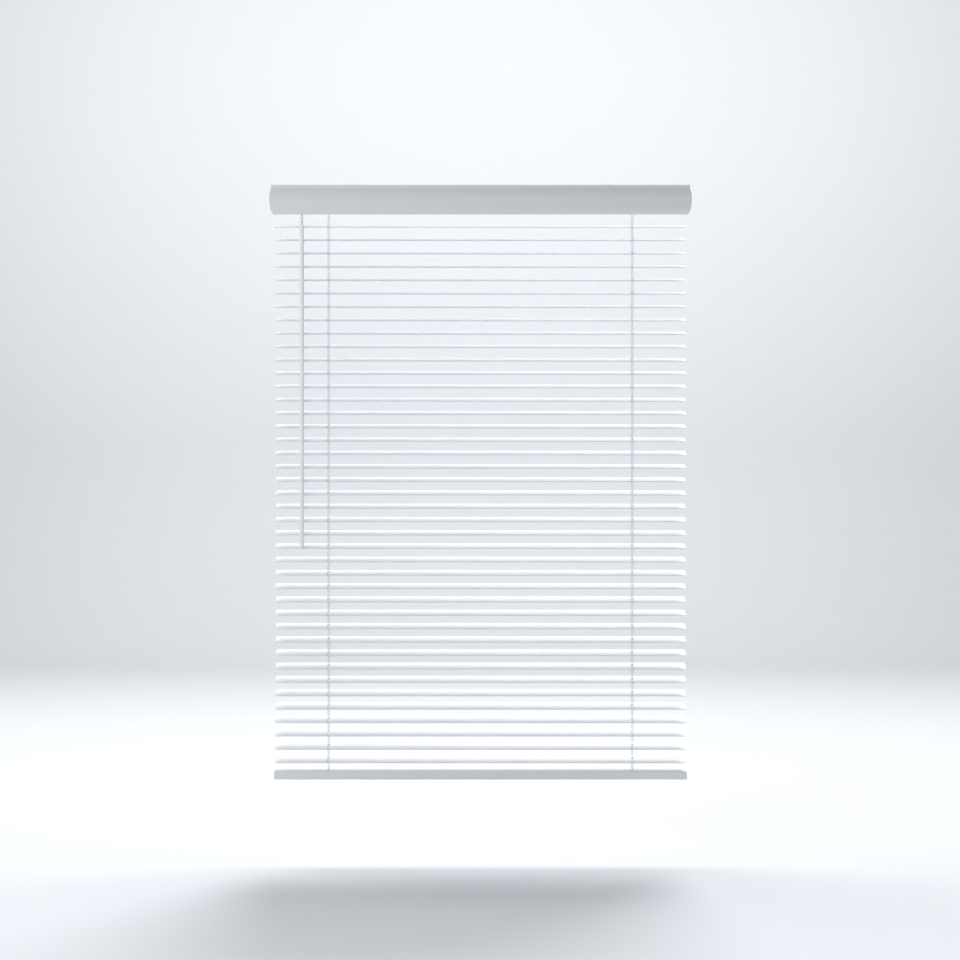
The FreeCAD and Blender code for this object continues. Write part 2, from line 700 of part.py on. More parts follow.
def make_ladder_cords(name, side):
    """The cords along one edge of the slats: a loop on the rocker's pin, a drop, and a tail in the rail."""
    radius = names("{ladder_cord} / 2")
    loop_wire = names("({ladder_cord} / 2 - {running_fit})")
    loop = names("({rocker_pin} / 2 + {running_fit} / 2) + ") + loop_wire
    reach_y = f"{side} * {names('{ladder_reach}')} * cos({CHORD_TILT})"
    pin_z = f"{ROD_Z} + {side} * {names('{ladder_reach}')} * sin({CHORD_TILT})"
    hole_y = f"{side} * ({names('{rail_width} / 2 - {rail_cord_inset}')})"
    cords = []
    for label, row in (("Left", "-"), ("Right", "")):
        x = f"{row}{LADDER_X}"
        body = new_body(f"{name}{label}Drop")
        route = sketch_on(body, f"{name}{label}Route", "YZ_Plane", x)
        outline(
            route,
            [
                (reach_y, f"{pin_z} - ({loop})"),
                (reach_y, names("-{rail_top_drop} + {ladder_turn}")),
                (hole_y, RAIL_TOP),
                (hole_y, names("-{rail_top_drop} - {ladder_tail}")),
            ],
            closed=False,
        )
        section = sketch_on(body, f"{name}{label}Section", "XY_Plane", f"{pin_z} - ({loop})")
        circle(section, (x, reach_y), radius)
        pipe = body.newObject("PartDesign::AdditivePipe", f"{name}{label}Pipe")
        pipe.Profile = section
        pipe.Spine = (route, ["Edge1", "Edge2", "Edge3"])
        pipe.Transition = "Right corner"
        body.Tip = pipe
        hoop = ring(f"{name}{label}Loop", loop, loop_wire, (x, reach_y, pin_z), Y_AXIS, "90")
        cords.append(joined(f"{name}{label}", [body, hoop]))
    return group(name, cords)


def make_lift_cords():
    """Each cord runs from inside the rail up through the slats, round its guide and along to the lift unit."""
    radius, bend = names("{lift_cord} / 2"), names("{lift_cord_bend}")
    cord_z = names("-{lift_cord_drop}")
    foot = f"({RAIL_TOP} - {names('{lift_cord_tail}')})"
    length = f"({LADDER_X} - {bend} - " + names("{lift_unit_length} / 2 + {cord_entry})")
    upright = FreeCAD.Rotation(X_AXIS, 90)
    turns = {-1: FreeCAD.Rotation(Z_AXIS, 180) * upright, 1: upright}
    cords = []
    for label, side in (("Left", -1), ("Right", 1)):
        x = f"{side} * {LADDER_X}"
        rise = rod(f"{label}LiftRise", radius, f"{cord_z} - {bend} - {foot}", (x, "0", foot))
        corner = bind(doc.addObject("Part::Torus", f"{label}LiftBend"), Radius1=bend, Radius2=radius)
        corner.Angle3 = 90
        place(corner, (f"{x} - {side} * {bend}", "0", f"{cord_z} - {bend}"))
        corner.Placement.Rotation = turns[side]
        middle = (f"{side} * ({LADDER_X} - {bend} - {length} / 2)", "0", cord_z)
        run = rod_x(f"{label}LiftRun", radius, length, middle)
        cords.append(joined(f"{label}LiftCord", [rise, corner, run]))
    return group("lift_cords", cords)


def make_lift_unit():
    """The spring unit's case, with a bore for the tilt rod and a mouth at each end for a cord."""
    half = names("{lift_unit_length} / 2")
    wide = names("{lift_unit_width} / 2")
    block = box("LiftUnitBlock", (f"-{half}", half), (f"-{wide}", wide),
                (INNER_FLOOR, f"{INNER_FLOOR} + {names('{lift_unit_height}')}"))
    bore_length = names("{lift_unit_length} + 2 * {cut_past}")
    bore = rod_x("LiftUnitBore", names("{lift_unit_bore} / 2"), bore_length, ("0", "0", ROD_Z))
    tools = [bore]
    for label, side in (("Left", -1), ("Right", 1)):
        spot = (f"{side} * {half}", "0", names("-{lift_cord_drop}"))
        tools.append(rod_x(f"{label}CordMouth", names("{lift_cord} / 2 + {cord_clearance}"),
                           names("{mouth_depth} * 2"), spot))
    return cut("lift_unit", block, tools)


def make_wheel():
    """The worm wheel: a toothed disc on a hub, with a gap between teeth facing the worm."""
    body = new_body("tilter_wheel")
    blank = sketch_on(body, "WheelBlank", "YZ_Plane")
    circle(blank, ("0", "0"), names("{wheel_pitch_radius} - {wheel_dedendum}"))
    pad(body, blank, names("{wheel_face}"))
    tooth = sketch_on(body, "WheelTooth", "YZ_Plane")
    root, tip = names("{tooth_root} / 2"), names("{tooth_tip} / 2")
    low = names("{wheel_pitch_radius} - {wheel_dedendum} - {tooth_sink}")
    high = names("{wheel_pitch_radius} + {wheel_addendum}")
    turn = names("180 deg / {wheel_teeth}")

    def turned(across, up):
        return (f"({across}) * cos({turn}) + ({up}) * sin({turn})",
                f"({up}) * cos({turn}) - ({across}) * sin({turn})")

    corners = [turned(f"-({low})", f"-({root})"), turned(f"-({high})", f"-({tip})")]
    corners += [turned(f"-({high})", tip), turned(f"-({low})", root)]
    outline(tooth, corners)
    tooth_pad = pad(body, tooth, names("{wheel_face}"))
    polar_pattern(body, tooth_pad, names("{wheel_teeth}"))
    hub = sketch_on(body, "WheelHub", "YZ_Plane")
    circle(hub, ("0", "0"), names("{rocker_hub} / 2"))
    hub_pad = pad(body, hub, names("{housing_length} - 2 * {side_play}"))
    body.Tip = hub_pad
    bore = sketch_on(body, "WheelBore", "YZ_Plane")
    half = names("{rod_side} / 2")

    def rod_corner(across, up):
        return (f"({across}) * cos({LEAN}) - ({up}) * sin({LEAN})",
                f"({across}) * sin({LEAN}) + ({up}) * cos({LEAN})")

    square = [rod_corner(f"-{half}", f"-{half}"), rod_corner(half, f"-{half}")]
    square += [rod_corner(half, half), rod_corner(f"-{half}", half)]
    outline(bore, square)
    pocket(body, bore, names("{housing_length} + 2 * {cut_past}"))
    return place(body, (WAND_X, "0", ROD_Z), X_AXIS, f"-({LEAN})")


def make_worm():
    """The worm and its stem, drawn upright about its own axis, with a flat eye at the foot."""
    body = new_body("tilter_worm")
    shaft = sketch_on(body, "WormShaft", "XZ_Plane")
    radius = names("{stem_diameter} / 2")
    half_worm = names("{worm_lead} * {thread_start}")
    rectangle(shaft, ("0", radius), (f"-({STEM_LENGTH}) + " + names("{stem_end}"), half_worm))
    revolve(body, shaft)
    thread = sketch_on(body, "WormThread", "XZ_Plane")
    deep = f"{radius} - {names('{tooth_sink}')}"
    high = names("{worm_outer_radius}")
    root, tip = names("{thread_root} / 2"), names("{thread_tip} / 2")
    points = [(deep, f"-{half_worm} - {root}"), (high, f"-{half_worm} - {tip}")]
    points += [(high, f"-{half_worm} + {tip}"), (deep, f"-{half_worm} + {root}")]
    outline(thread, points)
    helix = body.newObject("PartDesign::AdditiveHelix", "WormHelix")
    helix.Profile = thread
    helix.ReferenceAxis = (thread, ["V_Axis"])
    helix.Mode = "pitch-turns-angle"
    bind(helix, Pitch=names("{worm_lead}"), Turns=names("{thread_turns}"))
    helix.LeftHanded = False
    helix.Reversed = False
    body.Tip = helix
    eye = sketch_on(body, "StemEye", "YZ_Plane")
    flat = names("{eye_hole} / 2 + {eye_rim}")
    foot, root = names("{eye_foot}"), names("{eye_root}")
    rectangle(eye, (f"-({flat})", flat), (f"-({STEM_LENGTH}) - {foot}", f"-({STEM_LENGTH}) + {root}"))
    pad(body, eye, names("{eye_plate}"))
    hole = sketch_on(body, "StemEyeHole", "YZ_Plane")
    circle(hole, ("0", f"-({STEM_LENGTH})"), names("{eye_hole} / 2"))
    pocket(body, hole, names("{stem_diameter} * 2"))
    return place(body, (WAND_X, WORM_Y, WORM_Z), X_AXIS, f"-({LEAN})")


def make_tilter_housing():
    """An open-topped case on the headrail's floor that carries the wheel's hub and the worm's stem."""
    half, wall, end_wall = (names(f"{{{n}}}") for n in ("housing_length", "housing_wall", "housing_end_wall"))
    half = f"{half} / 2"
    front = names("-{headrail_width} / 2 + {headrail_wall} + {seat_gap}")
    rear = names("{wheel_pitch_radius} + {wheel_addendum} + {housing_wall} + {wheel_room}")
    top = f"{ROD_Z} + " + names("{wheel_pitch_radius} + {wheel_addendum} + {wheel_room}")
    block = box("HousingBlock", (f"{WAND_X} - {half}", f"{WAND_X} + {half}"), (front, rear), (INNER_FLOOR, top))
    room = box("HousingRoom", (f"{WAND_X} - {half} + {end_wall}", f"{WAND_X} + {half} - {end_wall}"),
               (f"{front} + {wall}", f"{rear} - {wall}"),
               (f"{INNER_FLOOR} + {names('{housing_floor}')}", f"{top} + {PAST}"))
    hub = rod_x("HousingHubBore", names("{rocker_hub} / 2 + {running_fit} / 2"), names("{housing_length} * 2"),
                (WAND_X, "0", ROD_Z))
    start = names("{stem_bore_start}")
    foot = (WAND_X, f"{WORM_Y} - {start} * sin({LEAN})", f"{WORM_Z} - {start} * cos({LEAN})")
    stem = rod("HousingStemBore", names("{stem_diameter} / 2 + {running_fit} / 2"),
               names("{stem_bore_start} - {stem_bore_stop}"), foot, X_AXIS, f"-({LEAN})")
    return cut("tilter_housing", block, [room, hub, stem])


def make_wand_hook():
    """Bent wire: a ring through the stem's eye, a shank, and a cross bar inside the wand's ball."""
    wire = names("{wire} / 2")
    ring_r = names("{ring_radius}")
    centre_z = names("-{eye_drop} - {ring_radius}")
    parts = [
        ring("HookRing", ring_r, wire, (WAND_X, WAND_Y, centre_z), X_AXIS, "90"),
        rod("HookShank", wire, f"{centre_z} - {ring_r} + {names('{wand_pivot_drop}')}",
            (WAND_X, WAND_Y, names("-{wand_pivot_drop}"))),
        rod_x("HookBar", names("{pivot_bar} / 2"), names("{pivot_bar_length}"),
              (WAND_X, WAND_Y, names("-{wand_pivot_drop}"))),
    ]
    return joined("wand_hook", parts)


def make_wand():
    """A turned wand: a ball pierced by the hook's bar, a neck, a shoulder and a rounded tip."""
    body = new_body("wand")
    ball, neck, full = (names(f"({{{n}}} / 2)") for n in ("wand_ball", "wand_neck", "wand_diameter"))
    length, shoulder, slant = (names(f"{{{n}}}") for n in ("wand_length", "wand_shoulder", "wand_bevel"))
    profile = sketch_on(body, "WandProfile", "XZ_Plane")
    dip = f"sqrt({ball}^2 - {neck}^2)"
    outline(
        profile,
        [
            ("0", ball, (f"{ball} * sin(60)", f"{ball} * cos(60)")),
            (neck, f"-{dip}"),
            (neck, f"-{shoulder} + {slant} / 2"),
            (full, f"-{shoulder} - {slant} / 2"),
            (full, f"-{length} + {full}", (f"{full} * sin(45)", f"-{length} + {full} - {full} * cos(45)")),
            ("0", f"-{length}"),
        ],
    )
    revolve(body, profile)
    bore = sketch_on(body, "WandBore", "YZ_Plane")
    circle(bore, ("0", "0"), names("{pivot_bar} / 2 + {running_fit} / 2"))
    pocket(body, bore, names("{wand_ball} * 2"))
    gap = sketch_on(body, "WandGap", "YZ_Plane")
    floor = names("-{wire} / 2 - {gap_play}")
    rectangle(gap, (f"-{ball} - {PAST}", f"{ball} + {PAST}"), (floor, f"{ball} + {PAST}"))
    pocket(body, gap, names("{wire} + 2 * {gap_play}"))
    return place(body, (WAND_X, WAND_Y, names("-{wand_pivot_drop}")))


def make_bottom_rail():
    """A hollow rail with rounded edges, holed along its top for the cords."""
    body = new_body("bottom_rail")
    half, tall = names("{rail_width} / 2"), names("{rail_height} / 2")
    wall, corner = names("{rail_wall}"), names("{rail_corner}")

    def rounded(half, tall, radius):
        lean = f"{radius} * (1 - sqrt(0.5))"
        points = []
        for side, row in ((1, -1), (1, 1), (-1, 1), (-1, -1)):
            flat_end = (f"{side} * ({half} - {radius})", f"{row} * ({tall})")
            side_end = (f"{side} * ({half})", f"{row} * ({tall} - {radius})")
            bulge = (f"{side} * ({half} - {lean})", f"{row} * ({tall} - {lean})")
            first, last = (flat_end, side_end) if side * row < 0 else (side_end, flat_end)
            points += [(*first, bulge), last]
        return points

    profile = sketch_on(body, "RailProfile", "YZ_Plane")
    outline(profile, rounded(half, tall, corner))
    outline(profile, rounded(f"({half} - {wall})", f"({tall} - {wall})", f"({corner} - {wall})"))
    pad(body, profile, names("{slat_length}"))
    holes = sketch_on(body, "RailHoles", "XY_Plane", f"{tall}")
    for row in ("-", ""):
        circle(holes, (f"{row}{LADDER_X}", "0"), names("{lift_hole} / 2"))
        for side in ("-", ""):
            spot = (f"{row}{LADDER_X}", f"{side}({names('{rail_width} / 2 - {rail_cord_inset}')})")
            circle(holes, spot, names("{ladder_hole} / 2"))
    pocket(body, holes, names("{rail_corner} * 2"))
    return place(body, ("0", "0", RAIL_AXIS))


master = make_master_slat()
parts = make_slats(master)
parts += [
    make_headrail(),
    make_brackets(),
    make_door("left_bracket_door", -1),
    make_door("right_bracket_door", 1),
    make_valance(),
    make_valance_clips(),
    make_tilt_rod(),
    make_rockers(),
    make_cradles(),
    make_ladder_cords("front_ladder_cords", -1),
    make_ladder_cords("rear_ladder_cords", 1),
    make_lift_cords(),
    make_lift_unit(),
    make_wheel(),
    make_worm(),
    make_tilter_housing(),
    make_wand_hook(),
    make_wand(),
    make_bottom_rail(),
]
doc.recompute()

faults = [item.Name for item in doc.Objects if {"Invalid", "Error"} & set(item.State)]
for item in parts:
    if item.Shape.isNull() or not item.Shape.isValid() or not item.Shape.Solids:
        faults.append(item.Name)
if faults:
    raise RuntimeError(f"these objects failed: {faults}")

os.makedirs("parts", exist_ok=True)
for item in parts:
    item.Shape.exportStep(f"parts/{item.Label}.step")
    print(item.Label, len(item.Shape.Solids), round(item.Shape.Volume))
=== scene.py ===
import json
import math

import bpy
from mathutils import Matrix, Vector


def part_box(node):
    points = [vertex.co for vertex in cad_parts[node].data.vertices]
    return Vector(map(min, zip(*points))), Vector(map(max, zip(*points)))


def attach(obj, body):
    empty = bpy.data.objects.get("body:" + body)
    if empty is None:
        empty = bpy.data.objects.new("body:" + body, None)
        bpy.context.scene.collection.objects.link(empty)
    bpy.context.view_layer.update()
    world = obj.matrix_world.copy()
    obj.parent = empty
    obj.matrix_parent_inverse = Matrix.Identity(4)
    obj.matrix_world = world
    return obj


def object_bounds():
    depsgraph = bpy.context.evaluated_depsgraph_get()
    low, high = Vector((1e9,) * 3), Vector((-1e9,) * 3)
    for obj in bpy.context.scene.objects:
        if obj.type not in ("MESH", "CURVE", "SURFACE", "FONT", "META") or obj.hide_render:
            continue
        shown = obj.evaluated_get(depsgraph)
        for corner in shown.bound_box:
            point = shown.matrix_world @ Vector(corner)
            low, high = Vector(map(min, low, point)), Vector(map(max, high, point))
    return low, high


MM = 0.001

# Sizes of the pieces that are made here, in metres
THREAD_RADIUS = 0.35 * MM
THREAD_GAP = 7 * MM
THREAD_SIDES = 6
CORD_REACH = 27 * MM
LIFT_CORD_RADIUS = 0.6 * MM
SLAT_CROWN = 2 * MM
SLAT_THICKNESS = 2.8 * MM
REST_TILT = math.radians(15)
CAP_THICKNESS = 2.2 * MM
CAP_OVERLAP = 0.5 * MM
CAP_CORNER = 5 * MM
CAP_RIM = 2.2 * MM
CAP_DISH_SLOPE = 0.5 * MM
CAP_DISH_DEPTH = 0.6 * MM
CAP_EDGE = 0.4 * MM
PLUG_RADIUS = 8 * MM
PLUG_HEIGHT = 1.2 * MM
PLUG_RIM = 1.6 * MM
PLUG_DISH = 0.5 * MM
PLUG_EDGE = 0.3 * MM
EYELET_RADIUS = 2.9 * MM
EYELET_WIRE = 0.55 * MM
EYELET_SPREAD = 21 * MM

# Sizes of the studio, in metres
FLOOR_DROP = 0.28
FLOOR_WIDTH = 16
FLOOR_DEPTH = 9
SWEEP_RADIUS = 1.5
SWEEP_STEPS = 10
WALL_HEIGHT = 3.6
BLIND_MIDDLE = (0, 0, -0.93)
CAMERA_SPOT = (-0.0016, -4.23, -0.927)

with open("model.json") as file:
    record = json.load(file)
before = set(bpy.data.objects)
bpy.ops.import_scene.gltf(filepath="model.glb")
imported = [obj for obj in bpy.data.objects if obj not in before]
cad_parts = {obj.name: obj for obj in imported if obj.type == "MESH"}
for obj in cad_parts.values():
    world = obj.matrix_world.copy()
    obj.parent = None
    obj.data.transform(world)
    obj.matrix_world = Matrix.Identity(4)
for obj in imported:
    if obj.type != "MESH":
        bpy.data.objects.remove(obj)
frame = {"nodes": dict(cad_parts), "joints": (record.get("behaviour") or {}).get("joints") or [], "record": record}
cad_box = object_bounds()
nodes = frame["nodes"]
joints = {joint["name"]: joint for joint in frame["joints"]}
slat_names = sorted(name for name in nodes if name.startswith("slat_"))


# Materials


def linear(hex_colour):
    """An sRGB hex colour as linear red, green, blue and alpha."""
    channels = [int(hex_colour[i : i + 2], 16) / 255 for i in (1, 3, 5)]
    return [c / 12.92 if c <= 0.04045 else ((c + 0.055) / 1.055) ** 2.4 for c in channels] + [1.0]


def add_node(tree, kind, settings=None, values=None, links=None):
    """Add a node, set its properties and its sockets, and link sockets to other nodes' outputs."""
    item = tree.nodes.new(kind)
    for name, value in (settings or {}).items():
        setattr(item, name, value)
    for name, value in (values or {}).items():
        item.inputs[name].default_value = value
    for name, output in (links or {}).items():
        tree.links.new(output, item.inputs[name])
    return item


def new_material(name, **values):
    """A material with a principled shader whose own sockets hold the plain values."""
    material = bpy.data.materials.new(name)
    material.use_nodes = True
    tree = material.node_tree
    shader = tree.nodes["Principled BSDF"]
    for socket, value in values.items():
        shader.inputs[socket.replace("_", " ")].default_value = value
    place = add_node(tree, "ShaderNodeTexCoord").outputs["Object"]
    return material, tree, shader, place


def per_mm(size_mm):
    """A texture's scale, from the real size of its grain in millimetres."""
    return 1 / (size_mm * MM)


def tone_between(tree, factor, dark, light):
    """A colour that wanders between two tones."""
    ramp = add_node(tree, "ShaderNodeValToRGB", links={"Fac": factor})
    ramp.color_ramp.elements[0].color = linear(dark)
    ramp.color_ramp.elements[0].position = 0.3
    ramp.color_ramp.elements[1].color = linear(light)
    ramp.color_ramp.elements[1].position = 0.7
    return ramp.outputs["Color"]


def spread(tree, factor, low, high):
    """A number that wanders between two ends."""
    settings = {"clamp": True}
    values = {"To Min": low, "To Max": high, "From Min": 0.3, "From Max": 0.7}
    return add_node(tree, "ShaderNodeMapRange", settings, values, {"Value": factor}).outputs["Result"]


def relief(tree, shader, height, depth_mm, strength=0.5):
    """Raise the surface by a pattern."""
    bump = add_node(tree, "ShaderNodeBump", values={"Strength": strength, "Distance": depth_mm * MM},
                    links={"Height": height})
    tree.links.new(bump.outputs["Normal"], shader.inputs["Normal"])


def extruded_vinyl(name, dark, light, rough_low, rough_high):
    """Foamed vinyl, extruded along the width and satin painted: long faint drawing lines, a soft sheen."""
    material, tree, shader, place = new_material(name, Specular_IOR_Level=0.45, IOR=1.53)
    along = add_node(tree, "ShaderNodeMapping", values={"Scale": (0.012, 1, 1)}, links={"Vector": place})
    lines = add_node(tree, "ShaderNodeTexNoise", links={"Vector": along.outputs["Vector"]},
                     values={"Scale": per_mm(1.6), "Detail": 3.0, "Roughness": 0.6})
    clouds = add_node(tree, "ShaderNodeTexNoise", values={"Scale": per_mm(14), "Detail": 2.0},
                      links={"Vector": along.outputs["Vector"]})
    tree.links.new(tone_between(tree, clouds.outputs["Fac"], dark, light), shader.inputs["Base Color"])
    tree.links.new(spread(tree, lines.outputs["Fac"], rough_low, rough_high), shader.inputs["Roughness"])
    relief(tree, shader, lines.outputs["Fac"], 0.05, 0.35)
    return material


def powder_coat(name, dark, light):
    """Baked powder paint on steel: an orange-peel skin with a low gloss."""
    material, tree, shader, place = new_material(name, Specular_IOR_Level=0.5, IOR=1.5)
    peel = add_node(tree, "ShaderNodeTexNoise", values={"Scale": per_mm(1.8), "Detail": 1.5},
                    links={"Vector": place})
    clouds = add_node(tree, "ShaderNodeTexNoise", values={"Scale": per_mm(60), "Detail": 2.0},
                      links={"Vector": place})
    tree.links.new(tone_between(tree, clouds.outputs["Fac"], dark, light), shader.inputs["Base Color"])
    tree.links.new(spread(tree, peel.outputs["Fac"], 0.36, 0.5), shader.inputs["Roughness"])
    relief(tree, shader, peel.outputs["Fac"], 0.08, 0.4)
    return material


def zinc_plate(name, dark, light, grain_mm):
    """Bright zinc plating on steel: bare metal in faintly different grains."""
    material, tree, shader, place = new_material(name, Metallic=1.0)
    grains = add_node(tree, "ShaderNodeTexVoronoi", values={"Scale": per_mm(grain_mm)},
                      links={"Vector": place})
    haze = add_node(tree, "ShaderNodeTexNoise", values={"Scale": per_mm(3), "Detail": 4.0},
                    links={"Vector": place})
    tree.links.new(tone_between(tree, grains.outputs["Distance"], dark, light), shader.inputs["Base Color"])
    tree.links.new(spread(tree, haze.outputs["Fac"], 0.24, 0.42), shader.inputs["Roughness"])
    relief(tree, shader, haze.outputs["Fac"], 0.02, 0.25)
    return material


def moulded_plastic(name, dark, light, rough_low, rough_high, grain_mm=0.9, relief_mm=0.03):
    """Injection-moulded plastic: the mould's fine spark-eroded grain."""
    material, tree, shader, place = new_material(name, Specular_IOR_Level=0.5, IOR=1.48)
    grain = add_node(tree, "ShaderNodeTexNoise", values={"Scale": per_mm(grain_mm), "Detail": 2.0},
                     links={"Vector": place})
    flow = add_node(tree, "ShaderNodeTexNoise", links={"Vector": place},
                    values={"Scale": per_mm(25), "Detail": 3.0, "Distortion": 0.6})
    tree.links.new(tone_between(tree, flow.outputs["Fac"], dark, light), shader.inputs["Base Color"])
    tree.links.new(spread(tree, grain.outputs["Fac"], rough_low, rough_high), shader.inputs["Roughness"])
    relief(tree, shader, grain.outputs["Fac"], relief_mm, 0.3)
    return material


def braided_cord(name, dark, light, plait_mm):
    """Braided polyester: strands that cross over one another on a slant, dull between them, with painted shade
    darkening the colour between them.
    """
    material, tree, shader, place = new_material(name, Specular_IOR_Level=0.3, Sheen_Weight=0.25, IOR=1.5)
    waves = []
    for lean in (0.9, -0.9):
        turned = add_node(tree, "ShaderNodeMapping", values={"Rotation": (lean, lean, 0)},
                          links={"Vector": place})
        wave = add_node(tree, "ShaderNodeTexWave", {"bands_direction": "Z"},
                        {"Scale": per_mm(plait_mm) / 20, "Distortion": 0.4},
                        {"Vector": turned.outputs["Vector"]})
        waves.append(wave.outputs["Fac"])
    plait = add_node(tree, "ShaderNodeMath", {"operation": "MAXIMUM"})
    tree.links.new(waves[0], plait.inputs[0])
    tree.links.new(waves[1], plait.inputs[1])
    height = plait.outputs["Value"]
    # Colour darker where the plait is low, between the strands: painted shade in the grooves.
    tree.links.new(tone_between(tree, height, dark, light), shader.inputs["Base Color"])
    tree.links.new(spread(tree, height, 0.9, 0.7), shader.inputs["Roughness"])
    relief(tree, shader, height, 0.15, 0.8)
    return material


FINISHES = {
    "slat": extruded_vinyl("satin_painted_vinyl_slat", "#EBEDF0", "#F1F2F5", 0.36, 0.48),
    # The valance's vinyl is toned a little darker than the slats' same vinyl: painted shade, standing in for the
    # shade its face is in.
    "valance": extruded_vinyl("satin_vinyl_valance_painted_shade", "#DEDFE1", "#E4E5E6", 0.4, 0.52),
    "rail": extruded_vinyl("satin_painted_vinyl_rail", "#E4E6E9", "#EAECEE", 0.36, 0.5),
    "headrail": powder_coat("white_powder_coat", "#E4E5E4", "#EDEEED"),
    "bracket": powder_coat("white_powder_coat_brackets", "#DEDFDE", "#E9EAE9"),
    "clip": zinc_plate("zinc_plated_spring_steel", "#B4B7BA", "#CDD0D3", 5),
    "rod": zinc_plate("zinc_plated_bar", "#A9ACAF", "#C6C9CC", 7),
    "hook": zinc_plate("zinc_plated_wire", "#B0B3B6", "#D0D3D6", 3),
    "rocker": moulded_plastic("moulded_white_acetal", "#E6E6E1", "#F0F0EC", 0.3, 0.42),
    "cradle": moulded_plastic("moulded_white_nylon", "#DEDDD6", "#E9E8E2", 0.42, 0.58),
    "gear": moulded_plastic("moulded_natural_acetal", "#E3E1D6", "#EEEDE4", 0.25, 0.38),
    "unit": moulded_plastic("moulded_grey_abs", "#5C6064", "#6C7074", 0.45, 0.62),
    "wand": moulded_plastic("moulded_white_acrylic", "#F4F5F6", "#F9FAFA", 0.2, 0.28, 2.5, 0.004),
    # The white polyester cords are toned grey: painted shade, standing in for the shade the thin cords are seen
    # in.
    "ladder": braided_cord("braided_polyester_painted_shade", "#B9BCBF", "#CDCFD2", 0.8),
    "lift_cord": braided_cord("braided_lift_cord_painted_shade", "#B4B6B9", "#DCDDDE", 0.9),
}


def finish_cad_nodes():
    """Give each CAD piece the finish of its slot in the record."""
    for entry in frame["record"]["subparts"]:
        piece = nodes[entry["node"]]
        piece.data.materials.clear()
        piece.data.materials.append(FINISHES[entry["material_slot"]])


# Modelling by hand


def ladder_place():
    """How far each ladder is from the middle: the outer lift cord's axis."""
    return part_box("lift_cords")[1].x - LIFT_CORD_RADIUS


def settle(piece, name, slot_name, body=None):
    """Put a finished piece's place in its mesh, then give it its name, finish and body."""
    piece.data.transform(piece.matrix_world)
    piece.matrix_world = Matrix.Identity(4)
    piece.name = name
    piece.data.name = name
    piece.data.materials.clear()
    piece.data.materials.append(FINISHES[slot_name])
    if body:
        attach(piece, body)
    return piece


def start_piece(adder, **settings):
    """Add a primitive with nothing else selected."""
    bpy.ops.object.select_all(action="DESELECT")
    adder(**settings)
    return bpy.context.object


def apply_size(piece, size):
    """Stretch a unit primitive to a size and fix it there."""
    piece.scale = size
    bpy.ops.object.transform_apply(location=False, rotation=False, scale=True)


def select_faces(piece, wanted):
    """Open edit mode with just the faces whose centre and normal are wanted."""
    bpy.ops.object.mode_set(mode="EDIT")
    bpy.ops.mesh.select_mode(type="FACE")
    bpy.ops.mesh.select_all(action="DESELECT")
    bpy.ops.object.mode_set(mode="OBJECT")
    for face in piece.data.polygons:
        face.select = wanted(face.center, face.normal)
    bpy.ops.object.mode_set(mode="EDIT")


def apply_bevel(piece, width, segments, angle=0.5):
    """Round a piece's sharp edges."""
    bevel = piece.modifiers.new("Bevel", "BEVEL")
    bevel.width = width
    bevel.segments = segments
    bevel.limit_method = "ANGLE"
    bevel.angle_limit = angle
    bpy.ops.object.modifier_apply(modifier="Bevel")


def smooth(piece, degrees=40):
    """Shade a piece smooth, except where its faces meet at more than an angle."""
    bpy.ops.object.select_all(action="DESELECT")
    piece.select_set(True)
    bpy.context.view_layer.objects.active = piece
    bpy.ops.object.shade_smooth_by_angle(angle=math.radians(degrees))


def copy_piece(piece, move):
    """A copy with its own mesh, moved by a matrix."""
    twin = piece.copy()
    twin.data = piece.data.copy()
    bpy.context.scene.collection.objects.link(twin)
    twin.data.transform(move)
    return twin


def joined_pieces(pieces):
    """Join pieces into the first of them."""
    bpy.ops.object.select_all(action="DESELECT")
    for piece in pieces:
        piece.select_set(True)
    bpy.context.view_layer.objects.active = pieces[0]
    bpy.ops.object.join()
    return pieces[0]


# Ladder threads


def thread(points):
    """A thin tube along points in the YZ plane, extruded ring by ring from a small circle."""
    piece = start_piece(bpy.ops.mesh.primitive_circle_add, vertices=THREAD_SIDES, radius=THREAD_RADIUS,
                        location=points[0], rotation=(math.radians(90), 0, 0), fill_type="NGON")
    bpy.ops.object.transform_apply(location=True, rotation=True, scale=False)
    bpy.ops.object.mode_set(mode="EDIT")
    bpy.ops.mesh.select_all(action="SELECT")
    for here, after in zip(points, points[1:]):
        bpy.ops.mesh.extrude_region_move(TRANSFORM_OT_translate={"value": after - here})
    bpy.ops.mesh.select_all(action="SELECT")
    bpy.ops.mesh.normals_make_consistent(inside=False)
    bpy.ops.object.mode_set(mode="OBJECT")
    return piece


def thread_points(face_side, slat_half):
    """A thread's way over (1) or under (-1) a slat, from the front cord to the rear cord."""
    clear = SLAT_THICKNESS / 2 + THREAD_RADIUS * 1.3
    points = [Vector((0, -CORD_REACH, 0))]
    for step in range(-4, 5):
        y = slat_half * 0.99 * step / 4
        crown = -SLAT_CROWN * (y / slat_half) ** 2
        points.append(Vector((0, y, crown + face_side * clear)))
    points.append(Vector((0, CORD_REACH, 0)))
    return points


